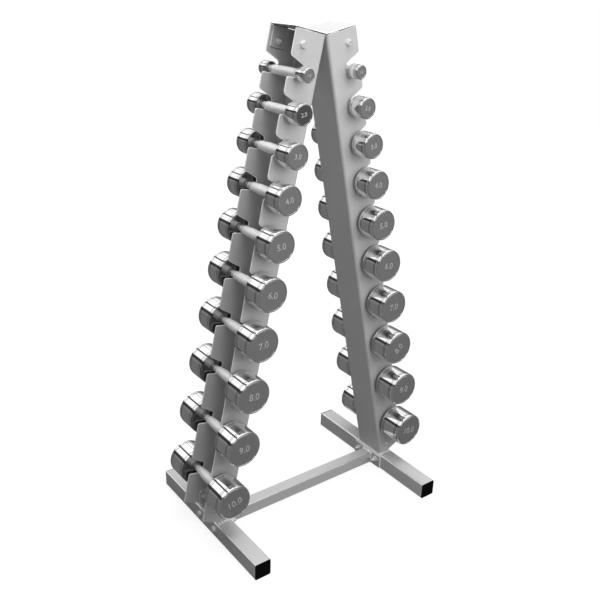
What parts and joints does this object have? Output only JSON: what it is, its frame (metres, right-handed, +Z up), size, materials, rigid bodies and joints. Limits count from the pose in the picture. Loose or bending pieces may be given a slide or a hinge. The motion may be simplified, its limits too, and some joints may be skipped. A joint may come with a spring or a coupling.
{
  "type": "dumbbell rack",
  "caption": "A-frame dumbbell rack of two toothed folded columns on tube feet with a cross beam, carrying round-headed steel dumbbells from light to heavy.",
  "frame": {"origin": "on the floor, at the middle of the footprint", "axes": "+Z up, X along the cross beam from the left column to the right one, Y along the feet and the dumbbells, away from the pictured front"},
  "size_m": [0.767, 0.522, 1.4099],
  "materials": {
    "silver_paint": "fine textured silver-grey powder coat",
    "chromed_steel": "polished chrome sides, satin end faces",
    "knurled_steel": "satin chrome with a knurled grip",
    "zinc_steel": "bright zinc plating",
    "black_plastic": "moulded, slightly grained"
  },
  "bodies": {
    "rack": {"beam_bolts": "zinc_steel", "beam_nuts": "zinc_steel", "beam_washers": "zinc_steel", "cross_beam": "silver_paint", "flange_bolts": "zinc_steel", "flange_nuts": "zinc_steel", "flange_washers": "zinc_steel", "foot_end_caps": "black_plastic", "left_beam_plate": "silver_paint", "left_column": "silver_paint", "left_foot": "silver_paint", "left_foot_bracket": "silver_paint", "right_beam_plate": "silver_paint", "right_column": "silver_paint", "right_foot": "silver_paint", "right_foot_bracket": "silver_paint", "top_bracket": "silver_paint"},
    "left_dumbbell_01": {"left_dumbbell_01_handle": "knurled_steel", "left_dumbbell_01_heads": "chromed_steel"},
    "left_dumbbell_02": {"left_dumbbell_02_handle": "knurled_steel", "left_dumbbell_02_heads": "chromed_steel"},
    "left_dumbbell_03": {"left_dumbbell_03_handle": "knurled_steel", "left_dumbbell_03_heads": "chromed_steel"},
    "left_dumbbell_04": {"left_dumbbell_04_handle": "knurled_steel", "left_dumbbell_04_heads": "chromed_steel"},
    "left_dumbbell_05": {"left_dumbbell_05_handle": "knurled_steel", "left_dumbbell_05_heads": "chromed_steel"},
    "left_dumbbell_06": {"left_dumbbell_06_handle": "knurled_steel", "left_dumbbell_06_heads": "chromed_steel"},
    "left_dumbbell_07": {"left_dumbbell_07_handle": "knurled_steel", "left_dumbbell_07_heads": "chromed_steel"},
    "left_dumbbell_08": {"left_dumbbell_08_handle": "knurled_steel", "left_dumbbell_08_heads": "chromed_steel"},
    "left_dumbbell_09": {"left_dumbbell_09_handle": "knurled_steel", "left_dumbbell_09_heads": "chromed_steel"},
    "left_dumbbell_10": {"left_dumbbell_10_handle": "knurled_steel", "left_dumbbell_10_heads": "chromed_steel"},
    "right_dumbbell_01": {"right_dumbbell_01_handle": "knurled_steel", "right_dumbbell_01_heads": "chromed_steel"},
    "right_dumbbell_02": {"right_dumbbell_02_handle": "knurled_steel", "right_dumbbell_02_heads": "chromed_steel"},
    "right_dumbbell_03": {"right_dumbbell_03_handle": "knurled_steel", "right_dumbbell_03_heads": "chromed_steel"},
    "right_dumbbell_04": {"right_dumbbell_04_handle": "knurled_steel", "right_dumbbell_04_heads": "chromed_steel"},
    "right_dumbbell_05": {"right_dumbbell_05_handle": "knurled_steel", "right_dumbbell_05_heads": "chromed_steel"},
    "right_dumbbell_06": {"right_dumbbell_06_handle": "knurled_steel", "right_dumbbell_06_heads": "chromed_steel"},
    "right_dumbbell_07": {"right_dumbbell_07_handle": "knurled_steel", "right_dumbbell_07_heads": "chromed_steel"},
    "right_dumbbell_08": {"right_dumbbell_08_handle": "knurled_steel", "right_dumbbell_08_heads": "chromed_steel"},
    "right_dumbbell_09": {"right_dumbbell_09_handle": "knurled_steel", "right_dumbbell_09_heads": "chromed_steel"},
    "right_dumbbell_10": {"right_dumbbell_10_handle": "knurled_steel", "right_dumbbell_10_heads": "chromed_steel"}
  },
  "joints": [
    {"name": "left_dumbbell_01_lift", "type": "slide", "parent": "rack", "child": "left_dumbbell_01", "axis": [-0.9767, 0, 0.2147], "range_m": [0, 0.13]},
    {"name": "left_dumbbell_02_lift", "type": "slide", "parent": "rack", "child": "left_dumbbell_02", "axis": [-0.9767, 0, 0.2147], "range_m": [0, 0.13]},
    {"name": "left_dumbbell_03_lift", "type": "slide", "parent": "rack", "child": "left_dumbbell_03", "axis": [-0.9767, 0, 0.2147], "range_m": [0, 0.13]},
    {"name": "left_dumbbell_04_lift", "type": "slide", "parent": "rack", "child": "left_dumbbell_04", "axis": [-0.9767, 0, 0.2147], "range_m": [0, 0.13]},
    {"name": "left_dumbbell_05_lift", "type": "slide", "parent": "rack", "child": "left_dumbbell_05", "axis": [-0.9767, 0, 0.2147], "range_m": [0, 0.13]},
    {"name": "left_dumbbell_06_lift", "type": "slide", "parent": "rack", "child": "left_dumbbell_06", "axis": [-0.9767, 0, 0.2147], "range_m": [0, 0.13]},
    {"name": "left_dumbbell_07_lift", "type": "slide", "parent": "rack", "child": "left_dumbbell_07", "axis": [-0.9767, 0, 0.2147], "range_m": [0, 0.13]},
    {"name": "left_dumbbell_08_lift", "type": "slide", "parent": "rack", "child": "left_dumbbell_08", "axis": [-0.9767, 0, 0.2147], "range_m": [0, 0.13]},
    {"name": "left_dumbbell_09_lift", "type": "slide", "parent": "rack", "child": "left_dumbbell_09", "axis": [-0.9767, 0, 0.2147], "range_m": [0, 0.13]},
    {"name": "left_dumbbell_10_lift", "type": "slide", "parent": "rack", "child": "left_dumbbell_10", "axis": [-0.9767, 0, 0.2147], "range_m": [0, 0.13]},
    {"name": "right_dumbbell_01_lift", "type": "slide", "parent": "rack", "child": "right_dumbbell_01", "axis": [0.9767, 0, 0.2147], "range_m": [0, 0.13]},
    {"name": "right_dumbbell_02_lift", "type": "slide", "parent": "rack", "child": "right_dumbbell_02", "axis": [0.9767, 0, 0.2147], "range_m": [0, 0.13]},
    {"name": "right_dumbbell_03_lift", "type": "slide", "parent": "rack", "child": "right_dumbbell_03", "axis": [0.9767, 0, 0.2147], "range_m": [0, 0.13]},
    {"name": "right_dumbbell_04_lift", "type": "slide", "parent": "rack", "child": "right_dumbbell_04", "axis": [0.9767, 0, 0.2147], "range_m": [0, 0.13]},
    {"name": "right_dumbbell_05_lift", "type": "slide", "parent": "rack", "child": "right_dumbbell_05", "axis": [0.9767, 0, 0.2147], "range_m": [0, 0.13]},
    {"name": "right_dumbbell_06_lift", "type": "slide", "parent": "rack", "child": "right_dumbbell_06", "axis": [0.9767, 0, 0.2147], "range_m": [0, 0.13]},
    {"name": "right_dumbbell_07_lift", "type": "slide", "parent": "rack", "child": "right_dumbbell_07", "axis": [0.9767, 0, 0.2147], "range_m": [0, 0.13]},
    {"name": "right_dumbbell_08_lift", "type": "slide", "parent": "rack", "child": "right_dumbbell_08", "axis": [0.9767, 0, 0.2147], "range_m": [0, 0.13]},
    {"name": "right_dumbbell_09_lift", "type": "slide", "parent": "rack", "child": "right_dumbbell_09", "axis": [0.9767, 0, 0.2147], "range_m": [0, 0.13]},
    {"name": "right_dumbbell_10_lift", "type": "slide", "parent": "rack", "child": "right_dumbbell_10", "axis": [0.9767, 0, 0.2147], "range_m": [0, 0.13]}
  ]
}
